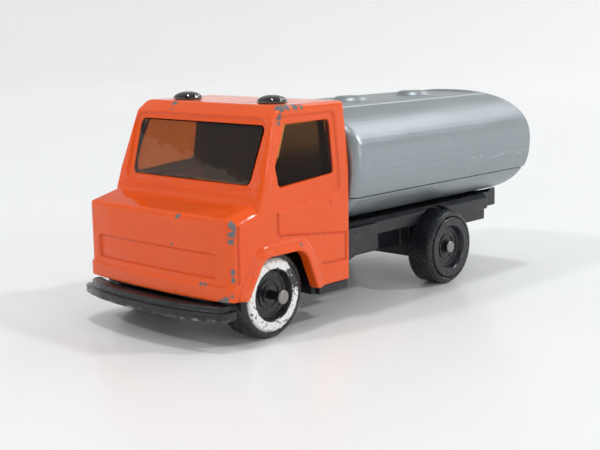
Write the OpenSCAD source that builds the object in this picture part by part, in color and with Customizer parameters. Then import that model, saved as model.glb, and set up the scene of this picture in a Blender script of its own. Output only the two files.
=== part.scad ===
// Toy tanker truck, about 73 mm long: a die-cast forward-control cab, a two-piece
// plastic tank and a plastic base with its bumper, rolling on two steel axles.
// The front of the truck looks towards -Y and its left side is +X.
// Lengthwise positions are counted back from the front axle, heights from the ground.

/* [Cab] */
// Half of the cab's width at the belt line
cab_half_w = 14.5; // [14.2:0.1:14.8]
// Half of the cab's width at the roof rails
roof_half_w = 13.45; // [13:0.05:14]
// Reach of the cab's front in front of the axle
cab_reach = 9.02; // [8.8:0.02:9.4]
// Sweep of the cab's front from its middle to its corners
front_bow = 1.05; // [0.6:0.05:1.4]
// Distance of the cab's back wall behind the axle
cab_back_y = 15.08; // [14.9:0.02:15.3]
// Height of the lower edge of the cab's sides
cab_foot_z = 5.49; // [5.4:0.01:5.6]
// Height of the belt line, where the sides start to lean in
belt_z = 21.1; // [20.5:0.1:21.6]
// Height of the roof
roof_z = 30.7; // [30.3:0.1:31]
// Thickness of the casting's walls
cab_wall = 1.1; // [1:0.05:1.3]

/* [Tank] */
// Half of the tank's width
tank_half_w = 15.95; // [15.4:0.05:16.4]
// Height of the tank's widest line
tank_mid_z = 21.4; // [21.2:0.1:21.6]
// Rise of the tank's section above its widest line
tank_rise = 8.0; // [7.8:0.05:8.2]
// Drop of the tank's section below its widest line
tank_drop = 9.8; // [9.6:0.05:9.9]
// Squareness of the tank's section, 2 being an ellipse
tank_square = 2.45; // [2.2:0.05:2.5]
// Height of the seam between the upper and the lower shell
seam_z = 16.8; // [16.4:0.1:17.2]
// Distance of the tank's rear face behind the front axle
tank_rear_y = 61.45; // [60.9:0.05:62]
// Thickness of the tank's walls
tank_wall = 1.2; // [1:0.05:1.4]

/* [Running gear] */
// Distance between the axles
wheelbase = 40.86; // [40.6:0.02:41.1]
// Radius of the wheels
wheel_r = 5.86; // [5.8:0.02:5.9]
// Distance of the wheels' outer faces from the middle
wheel_face_x = 14.1; // [14:0.05:14.15]
// Width of the wheels
wheel_w = 4.5; // [4.3:0.05:4.55]
// Radius of the axle shafts
axle_r = 0.6; // [0.55:0.01:0.65]
// Radial running clearance of the shafts in their bores
running_gap = 0.06; // [0.03:0.01:0.09]
// Half of the front axle's length
front_axle_half = 15.9; // [14.1:0.1:16]
// Half of the rear axle's length
rear_axle_half = 14.05; // [14:0.05:15]

/* [Base] */
// Reach of the bumper in front of the axle
bumper_reach = 11.75; // [11.4:0.05:12]
// Half of the bumper's width
bumper_half_w = 14.2; // [13.8:0.05:14.4]
// Height of the base's flat underside
base_z = 4.2; // [4:0.05:4.3]

/* [Hidden] */
$fn = 48;
eps = 0.01;

// The origin lies under the middle of the truck's length
mid_y = (tank_rear_y - bumper_reach) / 2;
hub_z = wheel_r;
far = 60;

// --- outlines -------------------------------------------------------------------------
function unit(v) = v / norm(v);
function turn(a) = a > 180 ? a - 360 : a < -180 ? a + 360 : a;

// Arc of radius r that rounds the corner b between its neighbours a and c
function corner(a, b, c, r, steps) =
    let (u = unit(a - b), w = unit(c - b), half = acos(u * w) / 2)
    let (o = b + unit(u + w) * r / sin(half))
    let (p = b + u * r / tan(half) - o, q = b + w * r / tan(half) - o)
    let (start = atan2(p.y, p.x), sweep = turn(atan2(q.y, q.x) - start))
    [for (i = [0:steps]) o + r * [cos(start + sweep * i / steps), sin(start + sweep * i / steps)]];

// Outline through points [x, y, corner radius]
function rounded(pts, steps = 6) =
    let (n = len(pts), at = [for (p = pts) [p.x, p.y]])
    [for (i = [0:n - 1]) each
        pts[i][2] > 0
            ? corner(at[(i + n - 1) % n], at[i], at[(i + 1) % n], pts[i][2], steps)
            : [at[i]]];

// The same outline moved in by t, or out where t is negative; points run anticlockwise
function moved(pts, t) =
    let (n = len(pts), at = [for (p = pts) [p.x, p.y]])
    [for (i = [0:n - 1])
        let (a = at[(i + n - 1) % n], b = at[i], c = at[(i + 1) % n])
        let (u = unit(b - a), w = unit(c - b))
        let (m = [-u.y, u.x], k = [-w.y, w.x], convex = u.x * w.y - u.y * w.x > 0)
        let (q = b + (m + k) * t / (1 + m * k))
        [q.x, q.y, pts[i][2] <= 0 ? 0 : max(0.05, pts[i][2] + (convex ? -t : t))]];

// Mirror image of a right half outline added to it
function both_halves(right) =
    concat(right, [for (i = [len(right) - 1:-1:0]) [-right[i].x, right[i].y, right[i][2]]]);

// Outline in the side view, extruded across the truck
module across(half) {
    rotate([90, 0, 90]) translate([0, 0, -half]) linear_extrude(2 * half) children();
}

// Outline in the front view, extruded from y0 back to y1
module along(y0, y1) {
    translate([0, y1, 0]) rotate([90, 0, 0]) linear_extrude(y1 - y0) children();
}

// Puts the front axle in front of the origin
module placed() {
    translate([0, -mid_y, 0]) children();
}

// Box given by its two corners
module box(a, b) {
    translate(a) cube(b - a);
}

module both_sides() {
    children();
    mirror([1, 0, 0]) children();
}

// Straight line of a given width between two points
module line(a, b, w) {
    d = b - a;
    translate(a) rotate(atan2(d.y, d.x)) translate([-w / 2, -w / 2]) square([norm(d) + w, w]);
}

// --- cab --------------------------------------------------------------------------------
hood_z = 16.9;
front_foot_z = cab_foot_z + 0.8;
screen_foot = [-2.95, 18.25];
screen_head = [0.68, 28.95];
cab_side = [
    [-cab_reach, cab_foot_z, 0],
    [cab_back_y, cab_foot_z, 0],
    [cab_back_y, roof_z, 0.35],
    [2.9, roof_z - 0.1, 1],
    [screen_head.x, screen_head.y, 1.5],
    [screen_foot.x, screen_foot.y, 1.3],
    [-cab_reach + 0.5, hood_z, 0.9]];
cab_section = both_halves([
    [cab_half_w, cab_foot_z - 3, 0],
    [cab_half_w, belt_z, 3],
    [roof_half_w, roof_z - 0.15, 0.7]]);
bow_steps = 10;
cab_plan = concat(
    [for (i = [0:bow_steps]) let (s = -1 + 2 * i / bow_steps)
        [cab_half_w * s, -cab_reach + front_bow * s * s, i == 0 || i == bow_steps ? 1.5 : 0]],
    [[cab_half_w, cab_back_y, 0.2], [-cab_half_w, cab_back_y, 0.2]]);

// Block bounded by the cab's outlines moved in by t
module cab_block(t) {
    intersection() {
        across(cab_half_w + 1) polygon(rounded(moved(cab_side, t)));
        along(-far, far) polygon(rounded(moved(cab_section, t)));
        translate([0, 0, -1]) linear_extrude(roof_z + 2) polygon(rounded(moved(cab_plan, t)));
    }
}

// Cutter for a mark of a given depth in the cab's sides
module side_mark(depth) {
    difference() {
        across(cab_half_w + 1) children();
        along(-far, far) polygon(rounded(moved(cab_section, depth)));
    }
}

// Cutter for a mark of a given depth in the cab's front
module front_mark(depth) {
    difference() {
        along(-cab_reach - 2, 4) children();
        intersection() {
            across(cab_half_w + 1) polygon(rounded(moved(cab_side, depth)));
            translate([0, 0, -1]) linear_extrude(roof_z + 2)
                polygon(rounded(moved(cab_plan, depth)));
        }
    }
}

// Wheel arch opening, and the lips around it
arch_top_z = 11.3;
arch = [[9.2, base_z - 2, 0], [5.3, arch_top_z, 2.4], [-2.45, arch_top_z, 2.2],
        [-8.1, base_z - 2, 0]];
lips = [[0.75, 0.6], [1.5, 0.32]];
module arch_outline(out) {
    polygon(rounded(moved(arch, -out)));
}

screen = both_halves([[11.65, 20.4, 0.8], [12.3, 28.05, 0.7]]);
side_window = [[12.05, 20.9, 0.6], [12.1, 28.15, 0.6], [3.25, 28.1, 0.5], [0.75, 22.7, 0.8],
               [1.15, 20.05, 0.5]];
door_skin = [[13.05, 18.35, 0.5], [13.05, 29.25, 0.6], [1.55, 29.2, 0.6], [0.05, 24, 3],
             [-1.1, 17.75, 0.5], [0.6, 17, 0.3], [8.8, 17.85, 1]];
grille = both_halves([[11.9, 9.2, 0.5], [11.9, 12.4, 0.5]]);
grille_d = 0.4;
frame_d = 0.34;
skin_d = 0.3;
hood_bevel = 0.75;
pillar_bevel = 0.25;
groove_w = 0.4;
groove_d = 0.28;

beacon_x = 8.43;
beacon_y = 6.2;
beacon_r = 2.15;
post_y = -5.2;
post_r = 1.7;
post_z = 7.2;
cab_rivet_r = 0.85;

module door_lines() {
    line([0.6, 13.7], [0.6, 16.6], groove_w);
    line([0.6, 13.7], [14.4, 12.2], groove_w);
    line([14.3, 8.4], [14.3, 11.9], groove_w);
    line([9.6, 8.55], [14.3, 8.4], groove_w);
    line([-6.75, 8.6], [-6.75, 15.9], groove_w);
}

// Cutter that bevels an edge running back and up at an angle from a point
module bevel(p, slope, lean, w) {
    both_sides() translate(p) rotate([0, -lean, 0]) rotate([slope, 0, 0]) rotate([0, 45, 0])
        box([-w, -far, -w], [w, far, w]);
}

// Bevels along the bonnet's sides and up the windscreen pillars
module cab_bevels() {
    screen_slope = atan2(screen_head.y - screen_foot.y, screen_head.x - screen_foot.x);
    hood_slope = atan2(screen_foot.y - hood_z, screen_foot.x + cab_reach - 0.5);
    lean = atan2(cab_half_w - roof_half_w, roof_z - belt_z);
    foot = [cab_half_w, screen_foot.x, screen_foot.y];
    belt_y = screen_foot.x + (belt_z - screen_foot.y) / tan(screen_slope);
    intersection() {
        bevel(foot, hood_slope, 0, hood_bevel);
        box([-far, -far, 0], [far, screen_foot.x, far]);
    }
    intersection() {
        union() {
            bevel(foot, screen_slope, 0, pillar_bevel);
            bevel([cab_half_w, belt_y, belt_z], screen_slope, lean, pillar_bevel);
        }
        box([-far, -far, screen_foot.y - 1], [far, screen_head.x + 0.4, far]);
    }
}

module cab_shell() {
    difference() {
        cab_block(0);
        cab_bevels();
        intersection() {
            cab_block(cab_wall);
            box([-far, -far, -1], [far, far, roof_z - cab_wall]);
        }
        // the hollow runs out through the foot of the casting
        intersection() {
            translate([0, 0, cab_foot_z - 1]) linear_extrude(3)
                polygon(rounded(moved(cab_plan, cab_wall)));
            box([-far, -far, 0], [far, far, cab_foot_z + 2]);
        }
        // the front edge is a little higher than the sides' lower edges
        box([-far, -far, 0], [far, -4, front_foot_z]);
        across(cab_half_w + 2) arch_outline(0);
        front_mark(cab_wall + 1.5) polygon(rounded(screen));
        front_mark(frame_d) polygon(rounded(moved(screen, -0.95)));
        across(cab_half_w + 2) polygon(rounded(side_window));
        side_mark(skin_d) polygon(rounded(door_skin));
        side_mark(groove_d) door_lines();
        front_mark(grille_d) polygon(rounded(grille));
        for (x = [-beacon_x, beacon_x])
            translate([x, beacon_y, roof_z - 3]) cylinder(r = beacon_r - 0.15, h = 4);
    }
}

module cab() color("orangered") placed() {
    difference() {
        union() {
            cab_shell();
            // double lip of the wheel arch
            for (lip = lips) difference() {
                intersection() {
                    across(cab_half_w + lip[1]) arch_outline(lip[0]);
                    box([-far, -6.9, cab_foot_z - 0.05], [far, 9.9, far]);
                }
                box([-cab_half_w + cab_wall, -far, -1], [cab_half_w - cab_wall, far, far]);
                box([-far, -far, 0], [far, -4, front_foot_z]);
            }
            // lower valance, a step forward of the grille
            intersection() {
                cab_block(-0.28);
                box([-far, -far, front_foot_z + 0.03], [far, -7.2, 8.3]);
                difference() {
                    cube(2 * far, center = true);
                    translate([0, 0, -1]) linear_extrude(12)
                        polygon(rounded(moved(cab_plan, cab_wall)));
                }
            }
            // ribs in the grille
            intersection() {
                cab_block(grille_d - 0.12);
                difference() {
                    for (z = [9.85, 10.6, 11.35])
                        box([-11.3, -far, z], [11.3, -6, z + 0.4]);
                    cab_block(grille_d + 0.2);
                }
            }
            // door handles
            both_sides() box([cab_half_w - 0.2, 11, 16.75], [cab_half_w + 0.22, 12.7, 17.3]);
            // door hinges' knuckles
            both_sides() translate([cab_half_w, 0.6, 16.95]) sphere(r = 0.28, $fn = 16);
            // post under the bonnet for the rivet
            translate([0, post_y, post_z]) cylinder(r = post_r, h = hood_z - post_z - 0.5);
        }
        across(cab_half_w + 2) arch_outline(0);
        // the back wall ends above the base and its rails
        box([-cab_half_w + cab_wall, cab_back_y - cab_wall - 0.3, 0],
            [cab_half_w - cab_wall, far, rail_top_z + 0.1]);
        // room for the front wheels
        both_sides() translate([9, 0, hub_z]) rotate([0, 90, 0])
            cylinder(r = wheel_r + 0.35, h = 5.25);
        translate([0, post_y, post_z - 1]) cylinder(r = cab_rivet_r, h = 5);
    }
}

// --- glazing ----------------------------------------------------------------------------
glass_t = 0.8;
glass_gap = 0.06;
pane_depth = 0.3;
pane_gap = 0.1;
dome_rise = 1.0;
dome = [for (a = [0:10:90]) [beacon_r * cos(a), 0.02 + (dome_rise - 0.02) * sin(a)]];

module glazing() color("saddlebrown") placed() {
    difference() {
        intersection() {
            cab_block(cab_wall + glass_gap);
            box([-far, -4, 19.3], [far, 13.6, roof_z - cab_wall - glass_gap]);
        }
        intersection() {
            cab_block(cab_wall + glass_gap + glass_t);
            box([-far, -far, 0], [far, far, roof_z - cab_wall - glass_gap - glass_t]);
        }
        box([-12, 12.5, 19], [12, 14, 28.6]);
    }
    // panes that stand in the window openings
    intersection() {
        difference() {
            cab_block(pane_depth);
            cab_block(cab_wall + glass_gap + glass_t / 2);
        }
        union() {
            along(-cab_reach, 4) polygon(rounded(moved(screen, pane_gap)));
            across(cab_half_w + 1) polygon(rounded(moved(side_window, pane_gap)));
        }
    }
    // roof beacons, one with the glazing through the holes in the roof
    for (x = [-beacon_x, beacon_x]) translate([x, beacon_y, roof_z]) {
        translate([0, 0, -cab_wall - 0.4]) cylinder(r = beacon_r - 0.3, h = cab_wall + 0.45);
        rotate_extrude() polygon(concat([[0, 0.02]], dome));
    }
}

// --- tank -------------------------------------------------------------------------------
tank_front_y = cab_back_y + 0.3;
section_steps = 72;
// Radius of the rounded edge at the tank's front and rear
front_edge = 1.7;
rear_edge = 0.55;
edge_steps = 5;
walk_half_w = 6.9;
rail_w = 0.45;
walk_drop = 0.35;
hatch_y = [33, 49.5];
hatch_r = 3.05;
post_ys = [26, 50.5];
tank_post_r = 1.9;
tank_rivet_r = 0.9;
deck_z = 11.6;

function rule(v, k) = sign(v) * pow(abs(v), 2 / k);

// Point of the tank's section at angle a, moved in by t
function tank_point(a, t) = [
    (tank_half_w - t) * rule(cos(a), tank_square),
    tank_mid_z + ((sin(a) > 0 ? tank_rise : tank_drop) - t) * rule(sin(a), tank_square)];

// Solid that follows the tank's section from one end to the other, moved in by t
module tank_block(t) {
    front = [for (i = [0:edge_steps]) let (a = 90 * i / edge_steps)
        [tank_front_y + t + front_edge * (1 - sin(a)), t + front_edge * (1 - cos(a))]];
    rear = [for (i = [0:edge_steps]) let (a = 90 * i / edge_steps)
        [tank_rear_y - t - rear_edge * (1 - sin(a)), t + rear_edge * (1 - cos(a))]];
    rings = concat([for (i = [edge_steps:-1:0]) front[i]], rear);
    n = section_steps;
    last = len(rings) - 1;
    points = [for (ring = rings) for (j = [0:n - 1])
        let (p = tank_point(360 * (j + 0.5) / n, ring[1])) [p.x, ring[0], p.y]];
    walls = [for (i = [0:last - 1]) for (j = [0:n - 1])
        let (k = (j + 1) % n) [i * n + j, i * n + k, (i + 1) * n + k, (i + 1) * n + j]];
    ends = [[for (j = [n - 1:-1:0]) j], [for (j = [0:n - 1]) last * n + j]];
    polyhedron(points, concat(walls, ends), convexity = 4);
}

module tank_upper() color("silver") placed() {
    difference() {
        union() {
            difference() {
                tank_block(0);
                box([-far, 0, 0], [far, far * 2, seam_z]);
                tank_block(tank_wall);
                // walkway sunk between two rails
                box([-walk_half_w, tank_front_y - 1, tank_mid_z + tank_rise - walk_drop],
                    [walk_half_w, tank_rear_y - 1.2, roof_z + 1]);
            }
            // underside of the walkway
            box([-walk_half_w - 0.6, tank_front_y + 1.4, tank_mid_z + tank_rise - tank_wall - 0.5],
                [walk_half_w + 0.6, tank_rear_y - 1.4, tank_mid_z + tank_rise - walk_drop]);
            for (y = hatch_y) translate([0, y, tank_mid_z + tank_rise - walk_drop - eps])
                hatch();
            for (y = post_ys) translate([0, y, deck_z + 0.3])
                cylinder(r = tank_post_r, h = tank_mid_z + tank_rise - 1 - deck_z);
        }
        for (y = post_ys) translate([0, y, deck_z - 1]) cylinder(r = tank_rivet_r, h = 6);
    }
}

// Low round hatch lid with a sloping rim and a flat top
module hatch() {
    rotate_extrude() polygon([[0, 0], [hatch_r, 0], [hatch_r - 0.7, 0.6], [hatch_r - 1.1, 0.72],
        [0, 0.72]]);
}

module tank_lower() color("darkgray") placed() {
    difference() {
        tank_block(0.15);
        box([-far, 0, seam_z - 0.12], [far, far * 2, far]);
        difference() {
            tank_block(tank_wall + 0.2);
            box([-far, 0, 0], [far, far * 2, deck_z + tank_wall]);
        }
        for (y = post_ys) translate([0, y, deck_z - 1]) cylinder(r = tank_post_r + 0.1, h = 6);
    }
}

// --- base -------------------------------------------------------------------------------
bumper_z = 3.95;
lip_h = 1.15;
sill_half_w = 14.25;
sill_y = 8.3;
pan_half_w = 9.2;
pan_front_y = -7.4;
pan_h = 2.9;
pan_floor = 1.2;
mark_d = 0.25;
step_half_w = 12.1;
step_rear_y = 24.6;
step_foot_z = 7.9;
sweep_r = 5.2;
sweep_y = 21;
spine_half_w = 7.4;
spine_z = 6.2;
channel_half_w = 6.1;
channel_top_z = deck_z - 1.5;
rail_half_w = 11;
rail_inner_x = 7.7;
rail_foot_z = 9.8;
rail_top_z = 12.35;
axle_block = [36.2, 45.6];
axle_block_z = 4.5;
deck_half_w = 9.7;
deck_front_y = 44;
tail_y = 60.4;
skirt_half_w = 10.4;
skirt_foot_z = 7.95;
skirt_rear_y = 56;
well_r = wheel_r + 0.5;

// Outline of the bumper in plan: bowed front, swept-back and rounded ends
function bumper_front(inset, end_r) = [for (i = [0:bow_steps]) let (s = -1 + 2 * i / bow_steps)
    [(bumper_half_w - inset) * s, -bumper_reach + inset + 2.3 * pow(abs(s), 2.4),
        abs(s) > 0.99 ? end_r : 0]];
module bumper_plan(inset, depth) {
    front = bumper_front(inset, 1.2);
    back = bumper_front(inset, 0.5);
    polygon(rounded(concat(front, [for (i = [bow_steps:-1:0]) back[i] + [0, depth, 0]])));
}

module bumper() {
    translate([0, 0, bumper_z]) linear_extrude(lip_h) bumper_plan(0, 2.8);
    translate([0, 0, bumper_z + lip_h - eps]) linear_extrude(0.75) bumper_plan(0.65, 1.8);
    // arms back to the base
    box([-8.6, -bumper_reach + 1.6, base_z], [8.6, -6.5, base_z + 1.3]);
}

module wheel_well(y) {
    both_sides() translate([pan_half_w + 0.2, y, hub_z]) rotate([0, 90, 0])
        cylinder(r = well_r, h = 6);
}

// Step box behind the cab, its underside sweeping up from the sill
module step_box() {
    sweep = [for (a = [0:15:90])
        [sweep_y - sweep_r * sin(a), step_foot_z - 3.4 * (1 - cos(a))]];
    difference() {
        box([6, cab_back_y - 0.3, base_z], [step_half_w, step_rear_y, deck_z + 0.3]);
        across(far) polygon(concat([[30, 0], [30, step_foot_z], [sweep_y, step_foot_z]], sweep,
            [[sweep_y - sweep_r, 0]]));
    }
}

// Cutter for grooves and a blank frame in the underside of the pan
module pan_marks() {
    for (y = [9.5, 11.5, 13.5])
        box([-6, y, 0], [6, y + 0.7, base_z + mark_d]);
    difference() {
        box([-6, 2.6, 0], [6, 7.6, base_z + mark_d]);
        box([-5.4, 3.2, 0], [5.4, 7, far]);
    }
}

module chassis() color("dimgray") placed() {
    difference() {
        union() {
            bumper();
            // pan under the cab
            box([-pan_half_w, pan_front_y, base_z],
                [pan_half_w, cab_back_y - 0.2, base_z + pan_h]);
            // sills
            both_sides() box([pan_half_w - 1, sill_y, base_z],
                [cab_half_w - cab_wall - 0.1, cab_back_y - 0.1, base_z + 4]);
            both_sides() box([pan_half_w - 1, sill_y + 0.6, base_z],
                [sill_half_w, cab_back_y - 0.1, cab_foot_z - 0.06]);
            both_sides() step_box();
            // spine
            box([-spine_half_w, cab_back_y - 0.3, spine_z], [spine_half_w, 48, deck_z - 0.1]);
            box([-spine_half_w, cab_back_y - 0.3, base_z], [spine_half_w, 22, spine_z + 0.8]);
            // frame rails under the tank
            both_sides() box([rail_inner_x, cab_back_y - 0.1, rail_foot_z],
                [rail_half_w, tail_y, rail_top_z]);
            // rear axle block
            box([-pan_half_w, axle_block[0], axle_block_z],
                [pan_half_w, axle_block[1], deck_z - 0.1]);
            // tail plate that follows the tank's underside
            along(tail_y - 1.8, tail_y - 0.1) difference() {
                translate([-deck_half_w, rail_foot_z]) square([2 * deck_half_w, 3.6]);
                polygon([for (a = [0:5:355]) tank_point(a, 0)]);
            }
            // deck behind the rear axle
            box([-deck_half_w, deck_front_y, deck_z - 1.4], [deck_half_w, tail_y, deck_z - 0.1]);
            // rear skirts
            both_sides() box([skirt_half_w - 2.2, deck_front_y, skirt_foot_z],
                [skirt_half_w, skirt_rear_y, deck_z]);
            box([-skirt_half_w, skirt_rear_y - 1.4, skirt_foot_z],
                [skirt_half_w, skirt_rear_y, deck_z]);
        }
        // the rails' corners behind the skirts and at the tail
        both_sides() box([deck_half_w, skirt_rear_y, 0], [far, far * 2, far]);
        wheel_well(0);
        wheel_well(wheelbase);
        // bevel along the rails
        both_sides() translate([rail_half_w, 0, rail_top_z]) rotate([0, 45, 0])
            box([-0.5, 0, -0.5], [0.5, far * 2, 0.5]);
        // bearings of the two axles
        for (y = [0, wheelbase]) translate([-far / 2, y, hub_z]) rotate([0, 90, 0])
            cylinder(r = axle_r + running_gap, h = far);
        pan_marks();
        // room inside the pan
        box([-7.8, 2, base_z + pan_floor], [7.8, 13.4, far]);
        box([-7.8, -2.6, hub_z + 1.5], [7.8, 2.1, far]);
        // the spine is a channel that is open below
        box([-channel_half_w, 23.4, 0], [channel_half_w, 35, channel_top_z]);
        box([-channel_half_w, 46.2, 0], [channel_half_w, 53.2, channel_top_z]);
        // seat of the cab's rivet and of its post, and the holes of the rivets
        translate([0, post_y, 0]) cylinder(r = cab_rivet_r + 0.1, h = far);
        translate([0, post_y, 0]) cylinder(r = 1.9, h = base_z + 0.7);
        translate([0, post_y, post_z - 0.15]) cylinder(r = post_r + 0.1, h = far);
        for (y = post_ys) translate([0, y, 0]) cylinder(r = tank_rivet_r + 0.1, h = far);
    }
}

// --- fasteners --------------------------------------------------------------------------
// Tubular rivet, its head at z = 0 and its shank upwards
module rivet(r, head_r, length) {
    rotate_extrude() polygon([[0.4, -0.45], [head_r * 0.7, -0.45], [head_r, -0.1], [head_r, 0],
        [r, 0], [r, length], [0.4, length]]);
}

module cab_rivet() color("lightgray") placed() {
    translate([0, post_y, base_z + 0.7]) rivet(cab_rivet_r - 0.02, 1.6, 5);
}

module tank_rivets() color("lightgray") placed() {
    for (y = post_ys) translate([0, y, deck_z - 1.5]) rivet(tank_rivet_r - 0.02, 1.7, 5);
}

// --- axles and wheels ---------------------------------------------------------------------
hub_face_x = 13.1;
head_r = 0.93;
head_t = 0.5;
head_edge = 0.14;

// Half of an axle's outline, from its middle out to a formed head
function axle_end(half) = [[axle_r, half - head_t], [head_r, half - head_t],
    [head_r, half - head_edge], [head_r - head_edge, half], [0, half]];

// Steel axle along X with a formed head at each end
module axle(half) {
    end = axle_end(half);
    rotate([0, 90, 0]) rotate_extrude()
        polygon(concat([for (i = [len(end) - 1:-1:0]) [end[i].x, -end[i].y]], end));
}

module axle_front() color("gainsboro") placed() translate([0, 0, hub_z]) axle(front_axle_half);
module axle_rear() color("gainsboro") placed() translate([0, wheelbase, hub_z])
    axle(rear_axle_half);

// Wheel about the X axis with its outer face towards +X, at its real distance from the middle
module wheel() {
    f = wheel_face_x;
    rotate([0, 90, 0]) rotate_extrude($fn = 96) polygon([
        [axle_r + running_gap, f - wheel_w - 0.1], [1.6, f - wheel_w - 0.1], [1.6, f - wheel_w],
        [5.55, f - wheel_w], [wheel_r, f - wheel_w + 0.3],
        [wheel_r, f - 1], [5.72, f - 0.5], [5.45, f - 0.2], [5.15, f - 0.1], [4.95, f - 0.2],
        [4.85, f - 0.35], [4.75, f - 0.1], [4.65, f], [3.6, f], [3.42, f - 0.15],
        [3.1, hub_face_x + 0.1], [2.9, hub_face_x], [2.05, hub_face_x], [2, hub_face_x + 0.16],
        [1.75, hub_face_x + 0.16], [1.7, hub_face_x], [1.3, hub_face_x],
        [1.25, hub_face_x + 0.18], [axle_r + running_gap, hub_face_x + 0.18]]);
}

module wheel_at(side, y) {
    placed() translate([0, y, hub_z]) mirror([side < 0 ? 1 : 0, 0, 0]) wheel();
}

module wheel_front_left() color("black") wheel_at(1, 0);
module wheel_front_right() color("black") wheel_at(-1, 0);
module wheel_rear_left() color("black") wheel_at(1, wheelbase);
module wheel_rear_right() color("black") wheel_at(-1, wheelbase);

cab();
glazing();
tank_upper();
tank_lower();
chassis();
cab_rivet();
tank_rivets();
axle_front();
axle_rear();
wheel_front_left();
wheel_front_right();
wheel_rear_left();
wheel_rear_right();
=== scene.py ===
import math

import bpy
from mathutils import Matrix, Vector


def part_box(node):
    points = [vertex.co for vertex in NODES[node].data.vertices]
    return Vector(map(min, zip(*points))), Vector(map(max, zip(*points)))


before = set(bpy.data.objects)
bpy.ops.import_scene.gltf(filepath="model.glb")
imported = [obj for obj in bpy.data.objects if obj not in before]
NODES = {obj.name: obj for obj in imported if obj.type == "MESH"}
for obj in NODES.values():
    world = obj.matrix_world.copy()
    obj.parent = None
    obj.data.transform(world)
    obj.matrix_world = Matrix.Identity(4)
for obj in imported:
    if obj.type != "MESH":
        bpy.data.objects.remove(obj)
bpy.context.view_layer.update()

# A die-cast toy tanker truck on a pale table under soft studio light. The shapes of the
# truck come from the CAD nodes; this script rounds their edges, gives them their paint,
# plastic and metal, and adds the light, the floor and the camera.

MM = 0.001
WHEELS = ("wheel_front_left", "wheel_front_right", "wheel_rear_left", "wheel_rear_right")


def middle(node):
    low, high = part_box(node)
    return (low + high) / 2


FRONT_AXLE = middle("axle_front")


def truck(x, behind, z):
    """A place in metres from millimetres: across, behind the front axle, above the ground."""
    return Vector((x * MM, FRONT_AXLE.y + behind * MM, z * MM))


# --- node graphs ------------------------------------------------------------------------
class Look:
    """A Principled material with short calls for the nodes that feed it."""

    def __init__(self, name, **sockets):
        self.material = bpy.data.materials.new(name)
        self.material.use_nodes = True
        self.tree = self.material.node_tree
        self.tree.nodes.clear()
        self.shader = self.node("ShaderNodeBsdfPrincipled")
        output = self.node("ShaderNodeOutputMaterial")
        self.tree.links.new(self.shader.outputs[0], output.inputs[0])
        self.set(**sockets)
        coordinates = self.node("ShaderNodeTexCoord").outputs["Object"]
        self.place = self.vector("SCALE", coordinates, scale=1 / MM)

    def set(self, **sockets):
        for name, value in sockets.items():
            socket = self.shader.inputs[name.replace("_", " ")]
            if isinstance(value, bpy.types.NodeSocket):
                self.tree.links.new(value, socket)
            elif isinstance(value, tuple) and len(value) == 3:
                socket.default_value = (*value, 1)
            else:
                socket.default_value = value

    def node(self, kind, **settings):
        made = self.tree.nodes.new(kind)
        for name, value in settings.items():
            setattr(made, name, value)
        return made

    def feed(self, socket, value):
        if isinstance(value, bpy.types.NodeSocket):
            self.tree.links.new(value, socket)
        elif value is not None:
            socket.default_value = value

    def vector(self, operation, a, b=None, scale=None):
        made = self.node("ShaderNodeVectorMath", operation=operation)
        self.feed(made.inputs[0], a)
        self.feed(made.inputs[1], b)
        if scale is not None:
            made.inputs["Scale"].default_value = scale
        return made.outputs["Value" if operation in ("LENGTH", "DISTANCE") else "Vector"]

    def math(self, operation, a, b=None):
        made = self.node("ShaderNodeMath", operation=operation)
        self.feed(made.inputs[0], a)
        self.feed(made.inputs[1], b)
        return made.outputs[0]

    def split(self, at):
        made = self.node("ShaderNodeSeparateXYZ")
        self.tree.links.new(at, made.inputs[0])
        return made.outputs

    def noise(self, per_mm, detail=4.0, roughness=0.55, at=None, shift=None):
        made = self.node("ShaderNodeTexNoise")
        made.inputs["Scale"].default_value = per_mm
        made.inputs["Detail"].default_value = detail
        made.inputs["Roughness"].default_value = roughness
        where = self.place if at is None else at
        if shift is not None:
            where = self.vector("ADD", where, shift)
        self.tree.links.new(where, made.inputs["Vector"])
        return made.outputs["Fac"]

    def step(self, value, low, high, to_low=0.0, to_high=1.0):
        """Value's smooth passage from low to high, as to_low to to_high."""
        made = self.node("ShaderNodeMapRange", interpolation_type="SMOOTHSTEP")
        self.feed(made.inputs["Value"], value)
        for name, number in (("From Min", low), ("From Max", high), ("To Min", to_low),
                             ("To Max", to_high)):
            made.inputs[name].default_value = number
        return made.outputs["Result"]

    def mix(self, share, a, b):
        made = self.node("ShaderNodeMix", data_type="RGBA")
        self.feed(made.inputs[0], share)
        for socket, value in ((made.inputs[6], a), (made.inputs[7], b)):
            self.feed(socket, (*value, 1) if isinstance(value, tuple) else value)
        return made.outputs[2]

    def blend(self, share, a, b):
        made = self.node("ShaderNodeMix", data_type="FLOAT")
        self.feed(made.inputs[0], share)
        self.feed(made.inputs[2], a)
        self.feed(made.inputs[3], b)
        return made.outputs[0]

    def bump(self, height, distance_mm, strength=1.0, under=None):
        made = self.node("ShaderNodeBump")
        made.inputs["Strength"].default_value = strength
        made.inputs["Distance"].default_value = distance_mm * MM
        self.tree.links.new(height, made.inputs["Height"])
        if under is not None:
            self.tree.links.new(under, made.inputs["Normal"])
        return made.outputs["Normal"]

    def spots(self, places, ragged):
        """1 inside blots at places, each (x, y, z, radius) in mm, with ragged edges."""
        share = None
        for x, y, z, radius in places:
            gap = self.vector("DISTANCE", self.place, (x, y, z))
            shaded_inside = self.math("SUBTRACT", 1.0, self.math("DIVIDE", gap, 1.25 * radius))
            share = shaded_inside if share is None else self.math("MAXIMUM", share, shaded_inside)
        return self.math("ADD", share, self.math("MULTIPLY", ragged, 2.0))


def chip(x, behind, z, radius):
    place = truck(x, behind, z) / MM
    return (place.x, place.y, place.z, radius)


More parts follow.
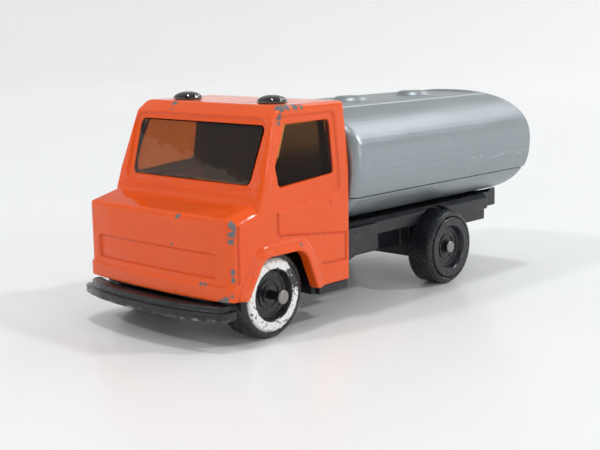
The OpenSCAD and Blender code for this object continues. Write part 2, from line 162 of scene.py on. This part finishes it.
# --- materials --------------------------------------------------------------------------
def cab_depth(look, x, y, z):
    """How far in mm a place lies behind the inner faces of the cab's walls."""
    belt_z, lean, half_w, roof_z = 21.1, 0.11, 13.2, 29.6
    screen_foot_y, screen_foot_z = truck(0, -2.95, 0).y / MM, 18.25
    over_belt = look.math("MAXIMUM", look.math("SUBTRACT", z, belt_z), 0.0)
    leaning = look.math("ADD", look.math("ABSOLUTE", x), look.math("MULTIPLY", over_belt, lean))
    from_side = look.math("SUBTRACT", half_w, leaning)
    behind = look.math("MULTIPLY", look.math("SUBTRACT", y, screen_foot_y), 0.949)
    above = look.math("MULTIPLY", look.math("SUBTRACT", z, screen_foot_z), 0.316)
    from_screen = look.math("SUBTRACT", behind, look.math("ADD", above, 1.0))
    from_roof = look.math("SUBTRACT", roof_z, z)
    return look.math("MINIMUM", from_side, look.math("MINIMUM", from_screen, from_roof))


def orange_paint():
    look = Look("orange_enamel", Specular_IOR_Level=0.0, Coat_Roughness=0.05)
    # casting ripples and orange peel
    ripple = look.noise(0.22, detail=1.5)
    peel = look.noise(1.6, detail=2.0)
    # low waves run across the casting
    waves = look.noise(1.0, detail=1.5, at=look.vector("MULTIPLY", look.place, (0.07, 0.3, 0.75)))
    # chips down to the grey alloy, where the casting's corners and edges were knocked
    ragged = look.math("SUBTRACT", look.noise(1.5, detail=4.0, roughness=0.6), 0.5)
    knocks = look.spots([
        chip(14.3, -7.6, 16.3, 0.6), chip(14.3, -7.7, 15.2, 0.6), chip(14.3, -7.8, 14.1, 0.5),
        chip(14.4, -7.7, 11.4, 0.35), chip(14.4, -7.7, 10.2, 0.5), chip(14.4, -7.7, 9.2, 0.4),
        chip(14.3, -7.8, 7.2, 0.3), chip(13.6, -8.1, 6.5, 0.65), chip(12.9, -8.3, 6.4, 0.55),
        chip(13.2, 2.7, 30.2, 0.7), chip(13.4, 3.9, 30.4, 0.6), chip(13.3, 5.3, 30.4, 0.7),
        chip(13.5, 6.6, 30.3, 0.45), chip(13.3, 2.2, 29.2, 0.5), chip(13.4, 2.1, 28.3, 0.35),
        chip(-7.0, 2.4, 30.2, 0.5), chip(-6.6, 1.4, 29.3, 0.3),
        chip(5.0, -8.45, 16.7, 0.45), chip(4.2, -8.85, 15.3, 0.22), chip(-13.0, -8.0, 15.5, 0.3),
        chip(4.0, -8.8, 12.9, 0.3), chip(10.5, -8.5, 11.3, 0.35), chip(9.4, -8.7, 8.3, 0.35),
        chip(10.2, -8.6, 8.25, 0.3), chip(13.8, -1.6, 20.9, 0.4), chip(14.95, 4.6, 12.0, 0.3),
        chip(14.9, 8.8, 7.0, 0.35), chip(-14.3, -7.6, 9.0, 0.6), chip(-14.2, -7.6, 16.0, 0.5),
        chip(-13.4, 15.0, 30.0, 0.6), chip(-14.4, 14.9, 8.0, 0.5), chip(6.0, 15.0, 30.5, 0.5),
    ], ragged)
    bare = look.step(knocks, 0.30, 0.36)
    edge = look.step(knocks, 0.14, 0.30)
    tint = look.noise(0.09, detail=3.0)
    paint = look.mix(tint, (0.76, 0.081, 0.005), (0.83, 0.098, 0.008))
    primed = look.mix(edge, paint, (0.45, 0.13, 0.07))
    alloy = look.mix(look.noise(3.0), (0.10, 0.10, 0.105), (0.24, 0.24, 0.25))
    # painted shade: the casting's inside is painted near-black, as the shade within the cab, and is
    # left dull
    x, y, z = look.split(look.place)
    depth = cab_depth(look, x, y, z)
    shaded_inside = look.step(depth, 0.0, 0.15)
    curve = look.node("ShaderNodeNewGeometry").outputs["Pointiness"]
    # painted shade and dirt darken the concave creases and grooves
    crevice_shade_and_dirt = look.step(curve, 0.485, 0.44)
    primed = look.mix(look.math("MULTIPLY", crevice_shade_and_dirt, 0.75), primed, (0.20, 0.022, 0.006))
    # sharp edges are lighter, partly for thin paint and partly as a painted highlight
    thin_paint_and_highlight = look.math("MULTIPLY", look.step(curve, 0.535, 0.59), 0.2)
    primed = look.mix(thin_paint_and_highlight, primed, (0.92, 0.30, 0.17))
    # painted shade: near-black inside the cab
    colour = look.mix(shaded_inside, look.mix(bare, primed, alloy), (0.022, 0.013, 0.010))
    look.set(
        Base_Color=colour,
        Roughness=look.blend(bare, look.step(look.noise(0.7), 0.3, 0.7, 0.22, 0.30), 0.5),
    )
    film = look.math("SUBTRACT", 1.0, bare)
    lacquered = look.math("MULTIPLY", film, look.math("SUBTRACT", 1.0, shaded_inside))
    look.set(Coat_Weight=look.math("MULTIPLY", lacquered, 0.85))
    normal = look.bump(waves, 0.14, 0.5, look.bump(ripple, 0.35, 0.5))
    normal = look.bump(peel, 0.012, 0.5, normal)
    # the lacquer pools, so its surface turns the edges more softly than the casting
    pool_mm = 0.5
    pooled = look.node("ShaderNodeBevel", samples=6)
    pooled.inputs["Radius"].default_value = pool_mm * MM
    lacquer = look.bump(waves, 0.2, 0.5, look.bump(ripple, 0.35, 0.5, pooled.outputs[0]))
    look.set(
        Normal=look.bump(film, 0.06, 0.8, normal),
        Coat_Normal=look.bump(peel, 0.012, 0.5, lacquer),
    )
    return look.material


def silver_plastic(name):
    look = Look(name, Metallic=0.72, IOR=1.45)
    flake = look.noise(9.0, detail=2.0)
    cloud = look.noise(0.12, detail=4.0)
    # scuffs run lengthwise along the widest part, more of them towards the rear
    _, y, z = look.split(look.place)
    scuffs = look.noise(1.0, detail=6.0, roughness=0.7,
                        at=look.vector("MULTIPLY", look.place, (1.6, 0.25, 1.6)))
    belt_z, crease_z = 19.6, 20.4
    belt = look.step(look.math("ABSOLUTE", look.math("SUBTRACT", z, belt_z)), 1.6, 0.3)
    rearward = look.step(y, -8.0, 28.0, 0.35, 1.0)
    worn = look.math("MULTIPLY", look.math("MULTIPLY", belt, rearward), 0.14)
    worn = look.step(look.math("ADD", scuffs, worn), 0.725, 0.77, 0.0, 0.5)
    crease = look.step(look.math("ABSOLUTE", look.math("SUBTRACT", z, crease_z)), 0.16, 0.03)
    tone = look.mix(cloud, (0.25, 0.285, 0.305), (0.30, 0.335, 0.355))
    tone = look.mix(look.step(flake, 0.35, 0.7, 0.0, 0.25), tone, (0.52, 0.55, 0.57))
    tone = look.mix(worn, tone, (0.66, 0.68, 0.69))
    look.set(Base_Color=tone, Roughness=look.step(cloud, 0.3, 0.7, 0.36, 0.43))
    normal = look.bump(look.noise(0.16, detail=1.0), 0.25, 0.5)
    normal = look.bump(look.math("MULTIPLY", crease, -1.0), 0.03, 0.6, normal)
    look.set(Normal=look.bump(flake, 0.006, 0.5, normal))
    return look.material


def black_plastic():
    look = Look("black_base", IOR=1.47)
    grain = look.noise(2.2, detail=6.0, roughness=0.65)
    rub = look.noise(0.5, detail=6.0, roughness=0.7)
    tone = look.mix(look.step(rub, 0.45, 0.75), (0.008, 0.0092, 0.0118), (0.026, 0.0285, 0.034))
    # the bumper's lower lip is scraped grey; its right tip is grey partly from scrapes and partly
    # as a painted sheen
    x, y, z = look.split(look.place)
    bumper_y, lip_z = truck(0, -8.0, 0).y / MM, 4.5
    on_bumper = look.step(y, bumper_y, bumper_y - 0.4)
    rubbed = look.step(look.noise(0.8, 6.0, 0.7), 0.42, 0.6)
    lip = look.math("MULTIPLY", look.step(z, lip_z, lip_z - 0.5), rubbed)
    tip_scrape_and_sheen = look.step(x, -8.0, -12.6)
    scrape_and_sheen = look.math("MULTIPLY", on_bumper, look.math("MAXIMUM", lip, tip_scrape_and_sheen))
    scrape_and_sheen = look.math("MULTIPLY", scrape_and_sheen, look.step(look.noise(1.3, 7.0, 0.75), 0.44, 0.52))
    look.set(
        Base_Color=look.mix(scrape_and_sheen, tone, (0.28, 0.282, 0.282)),
        Roughness=look.blend(scrape_and_sheen, look.step(grain, 0.3, 0.7, 0.26, 0.40), 0.6),
        Normal=look.bump(look.math("ADD", grain, look.math("MULTIPLY", scrape_and_sheen, -0.8)), 0.03, 0.5),
    )
    return look.material


def wheel_plastic(name, wheel, painted):
    """Black plastic about the wheel's own axis; a painted wheel has a worn white ring."""
    look = Look(name, IOR=1.47)
    centre = middle(wheel) / MM
    side = 1 if centre.x > 0 else -1
    from_hub = look.vector("SUBTRACT", look.place, tuple(centre))
    radius = look.vector("LENGTH", look.vector("MULTIPLY", from_hub, (0, 1, 1)))
    grain = look.noise(2.0, detail=6.0, roughness=0.65)
    colour = look.mix(look.step(grain, 0.4, 0.75), (0.012, 0.0132, 0.016), (0.025, 0.0275, 0.033))
    rough = look.step(grain, 0.3, 0.7, 0.24, 0.30)
    height = grain
    if painted:
        across = look.split(from_hub)[0]
        ring_inner, ring_outer, face_x = 3.56, 4.95, 1.75
        face = look.step(look.math("MULTIPLY", across, float(side)), face_x, face_x + 0.1)
        wobble = look.math("MULTIPLY", look.math("SUBTRACT", look.noise(1.6), 0.5), 0.3)
        edge = look.math("ADD", radius, wobble)
        ring = look.math("MULTIPLY", look.step(edge, ring_inner, ring_inner + 0.06),
                         look.step(edge, ring_outer, ring_outer - 0.1))
        chips = look.noise(1.5, detail=9.0, roughness=0.72, shift=(7.3 * side, 2.1, 4.4))
        streaks = look.noise(5.0, detail=6.0, roughness=0.8, shift=(1.0, 5.0, 9.0 * side))
        # the paint has worn most along the outer edge towards the rear
        lost = look.math("MULTIPLY", look.step(look.vector(
            "DISTANCE", from_hub, (2.2 * side, 5.0, 2.2)), 3.4, 1.0), 0.2)
        chips = look.math("ADD", chips, lost)
        kept = look.math("MULTIPLY", look.step(chips, 0.585, 0.56), look.step(streaks, 0.655, 0.63))
        white = look.math("MULTIPLY", look.math("MULTIPLY", ring, kept), face)
        dirt = look.mix(look.noise(0.9, detail=5.0), (0.72, 0.72, 0.70), (0.93, 0.93, 0.92))
        colour = look.mix(white, colour, dirt)
        rough = look.blend(white, rough, 0.45)
        height = look.math("ADD", look.math("MULTIPLY", grain, 0.2), white)
    look.set(Base_Color=colour, Roughness=rough, Normal=look.bump(height, 0.002, 0.6))
    return look.material


def steel(name, low, high, end=0.0):
    """Dull steel; with an end, only what lies further out than that many mm keeps the steel's
    colour, and the rest is near-black.
    """
    look = Look(name, Metallic=0.8)
    dull = look.noise(1.8, detail=6.0, roughness=0.7)
    colour = look.mix(dull, low, high)
    if end:
        x = look.split(look.place)[0]
        past_end = look.step(look.math("ABSOLUTE", x), end - 0.1, end)
        colour = look.mix(past_end, (0.03, 0.03, 0.032), colour)
    look.set(
        Base_Color=colour,
        Roughness=look.step(dull, 0.3, 0.7, 0.38, 0.55),
        Normal=look.bump(dull, 0.03, 0.5),
    )
    return look.material


def smoked_amber():
    look = Look("smoked_amber", Roughness=0.03, Transmission_Weight=1.0)
    streak = look.noise(0.25, detail=2.0)
    # only the domes on the roof stand clear of the cab, and they shine; the side panes don't
    x, _, z = look.split(look.place)
    dome_foot_z, pane_x = 30.6, 12.0
    domes = look.step(z, dome_foot_z, dome_foot_z + 0.1)
    side_panes = look.step(look.math("ABSOLUTE", x), pane_x, pane_x + 0.4, 1.42, 1.18)
    amber = look.mix(streak, (0.52, 0.22, 0.055), (0.62, 0.28, 0.075))
    look.set(
        Coat_Weight=domes,
        Base_Color=look.mix(domes, amber, (0.035, 0.014, 0.006)),
        IOR=side_panes,
        Normal=look.bump(look.noise(0.3, detail=1.0), 0.05, 0.4),
    )
    return look.material


# --- the truck --------------------------------------------------------------------------
def soften(node, voxel_mm, passes):
    """Rounds a casting's or moulding's edges, as thick paint and worn moulds do."""
    obj = NODES[node]
    remesh = obj.modifiers.new("skin", "REMESH")
    remesh.mode = "VOXEL"
    remesh.voxel_size = voxel_mm * MM
    remesh.use_smooth_shade = True
    smooth = obj.modifiers.new("round", "SMOOTH")
    smooth.factor = 0.5
    smooth.iterations = passes


def shade(node, degrees):
    mesh = NODES[node].data
    for face in mesh.polygons:
        face.use_smooth = True
    mesh.set_sharp_from_angle(angle=math.radians(degrees))


def wear(node, material):
    slots = NODES[node].data.materials
    slots.clear()
    slots.append(material)


def dress_truck():
    coarse = 1.0
    soften("cab", 0.115 * coarse, 9)
    for node in ("tank_upper", "tank_lower", "chassis"):
        soften(node, 0.13 * coarse, 2)
    for node in NODES:
        shade(node, 35)
    wear("cab", orange_paint())
    wear("glazing", smoked_amber())
    wear("tank_upper", silver_plastic("silver_upper"))
    wear("tank_lower", silver_plastic("silver_lower"))
    wear("chassis", black_plastic())
    for wheel in WHEELS:
        wear(wheel, wheel_plastic(wheel + "_plastic", wheel, "front" in wheel))
    for node in ("axle_front", "axle_rear"):
        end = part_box(node)[1].x / MM
        wear(node, steel(node + "_steel", (0.20, 0.195, 0.185), (0.36, 0.35, 0.33),
                         end - 0.25))
    rivets = steel("rivet_steel", (0.42, 0.42, 0.42), (0.62, 0.62, 0.61))
    for node in ("cab_rivet", "tank_rivets"):
        wear(node, rivets)


# --- studio -----------------------------------------------------------------------------
def floor():
    """A pale table that sweeps up far away on every side, so that no horizon shows."""
    flat, rim, rise, around, up = 0.7, 1.3, 0.45, 96, 12
    rings = [(0.0, 0.0), (flat * 0.5, 0.0), (flat, 0.0)]
    rings += [(flat + (rim - flat) * math.sin(math.pi / 2 * i / up),
               rise * (1 - math.cos(math.pi / 2 * i / up))) for i in range(1, up + 1)]
    points = [(0.0, 0.0, 0.0)]
    for reach, height in rings[1:]:
        for i in range(around):
            turn = 2 * math.pi * i / around
            points.append((reach * math.cos(turn), reach * math.sin(turn), height))
    faces = [(0, 1 + i, 1 + (i + 1) % around) for i in range(around)]
    for ring in range(len(rings) - 2):
        a, b = 1 + ring * around, 1 + (ring + 1) * around
        faces += [(a + i, b + i, b + (i + 1) % around, a + (i + 1) % around)
                  for i in range(around)]
    mesh = bpy.data.meshes.new("floor")
    mesh.from_pydata(points, [], faces)
    for face in mesh.polygons:
        face.use_smooth = True
    obj = bpy.data.objects.new("floor", mesh)
    bpy.context.scene.collection.objects.link(obj)
    look = Look("pale_table", Specular_IOR_Level=0.5, Coat_Weight=0.2, Coat_Roughness=0.09)
    grain = look.noise(0.02, detail=3.0)
    near = look.mix(grain, (0.80, 0.815, 0.82), (0.84, 0.85, 0.85))
    away = look.step(look.vector("LENGTH", look.place), 150.0, 700.0)
    look.set(
        Base_Color=look.mix(away, near, (0.93, 0.933, 0.932)),
        Roughness=look.step(grain, 0.3, 0.7, 0.42, 0.5),
    )
    mesh.materials.append(look.material)


def softbox(name, place, target, width, height, watts):
    light = bpy.data.lights.new(name, "AREA")
    light.shape = "RECTANGLE"
    light.size = width
    light.size_y = height
    light.energy = watts
    obj = bpy.data.objects.new(name, light)
    obj.location = place
    obj.rotation_mode = "QUATERNION"
    obj.rotation_quaternion = (Vector(target) - Vector(place)).to_track_quat("-Z", "Y")
    bpy.context.scene.collection.objects.link(obj)


def studio():
    floor()
    aim = (0, -0.005, 0.012)
    softbox("left_rear", (0.776, 0.722, 1.06), aim, 0.12, 0.12, 5.5)
    softbox("right_front", (-0.389, -0.998, 1.05), aim, 0.12, 0.12, 4.2)
    softbox("overhead", (0, 0, 1.4), aim, 0.14, 0.14, 4.3)
    softbox("rear_wall", (0.06, 1.1, 1.0), aim, 0.8, 0.5, 3.2)
    softbox("left_wall", (1.35, -0.15, 0.5), aim, 0.6, 0.5, 4.7)
    softbox("front_fill", (0.75, -0.85, 0.75), aim, 0.5, 0.4, 0.5)
    world = bpy.data.worlds.new("studio")
    world.use_nodes = True
    tree = world.node_tree
    ground = tree.nodes["Background"]
    # the tent's opening, in front and to the left of the truck, is darker than its walls
    direction = tree.nodes.new("ShaderNodeTexCoord").outputs["Generated"]
    facing = tree.nodes.new("ShaderNodeVectorMath")
    facing.operation = "DOT_PRODUCT"
    tree.links.new(direction, facing.inputs[0])
    facing.inputs[1].default_value = (0.66, -0.73, -0.18)
    share = tree.nodes.new("ShaderNodeMapRange")
    share.interpolation_type = "SMOOTHSTEP"
    tree.links.new(facing.outputs["Value"], share.inputs["Value"])
    for name, number in (("From Min", 0.0), ("From Max", 0.85), ("To Min", 0.49),
                         ("To Max", 0.12)):
        share.inputs[name].default_value = number
    tree.links.new(share.outputs["Result"], ground.inputs["Strength"])
    ground.inputs["Color"].default_value = (0.975, 0.99, 1.0, 1)
    scene = bpy.context.scene
    scene.world = world
    scene.view_settings.view_transform = "Standard"


def camera():
    """A short telephoto view of the front and left side from a little above the roof."""
    azimuth, elevation, roll = (math.radians(a) for a in (42.3, 10.19, -0.86))
    distance, lens = 0.16996, 66.36
    target = truck(-0.43, 21.19, 10.65)
    back = Vector((math.sin(azimuth) * math.cos(elevation),
                   -math.cos(azimuth) * math.cos(elevation), math.sin(elevation)))
    right = (-back).cross(Vector((0, 0, 1))).normalized()
    up = right.cross(-back)
    axes = Matrix((
        math.cos(roll) * right + math.sin(roll) * up,
        math.cos(roll) * up - math.sin(roll) * right,
        back,
    )).transposed()
    data = bpy.data.cameras.new("camera")
    data.lens = lens
    data.sensor_width = 36
    data.clip_start, data.clip_end = 0.01, 10
    obj = bpy.data.objects.new("camera", data)
    obj.matrix_world = Matrix.Translation(target + back * distance) @ axes.to_4x4()
    bpy.context.scene.collection.objects.link(obj)
    bpy.context.scene.camera = obj


camera()
dress_truck()
studio()
